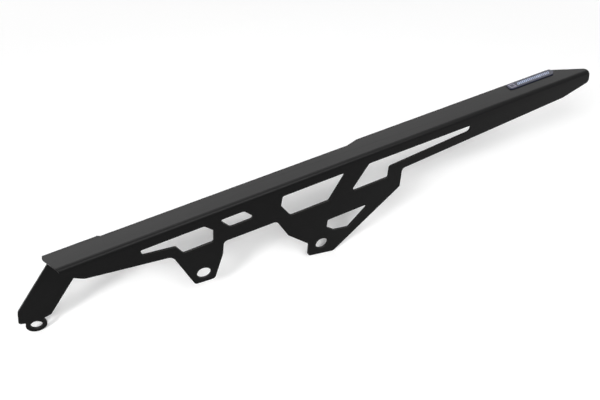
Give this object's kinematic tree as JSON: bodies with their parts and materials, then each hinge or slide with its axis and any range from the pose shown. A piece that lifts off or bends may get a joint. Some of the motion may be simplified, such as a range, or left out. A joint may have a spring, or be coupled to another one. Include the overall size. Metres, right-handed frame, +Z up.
{
  "type": "motorcycle chain guard",
  "caption": "Long folded sheet guard for a motorcycle chain, with cut-out side plate, drilled lugs, a front arm with a drilled ear and a small badge.",
  "frame": {"origin": "axis of the front lug's hole, at the side plate's outer face", "axes": "+X back along the fold to the tip, +Y inward from the side plate towards the chain, +Z up to the top flange"},
  "size_m": [0.5623, 0.0242, 0.1023],
  "materials": {
    "powder_coat": "satin black powder coat",
    "badge": null
  },
  "bodies": {
    "root": {"guard": "powder_coat", "badge": "badge"}
  },
  "joints": []
}
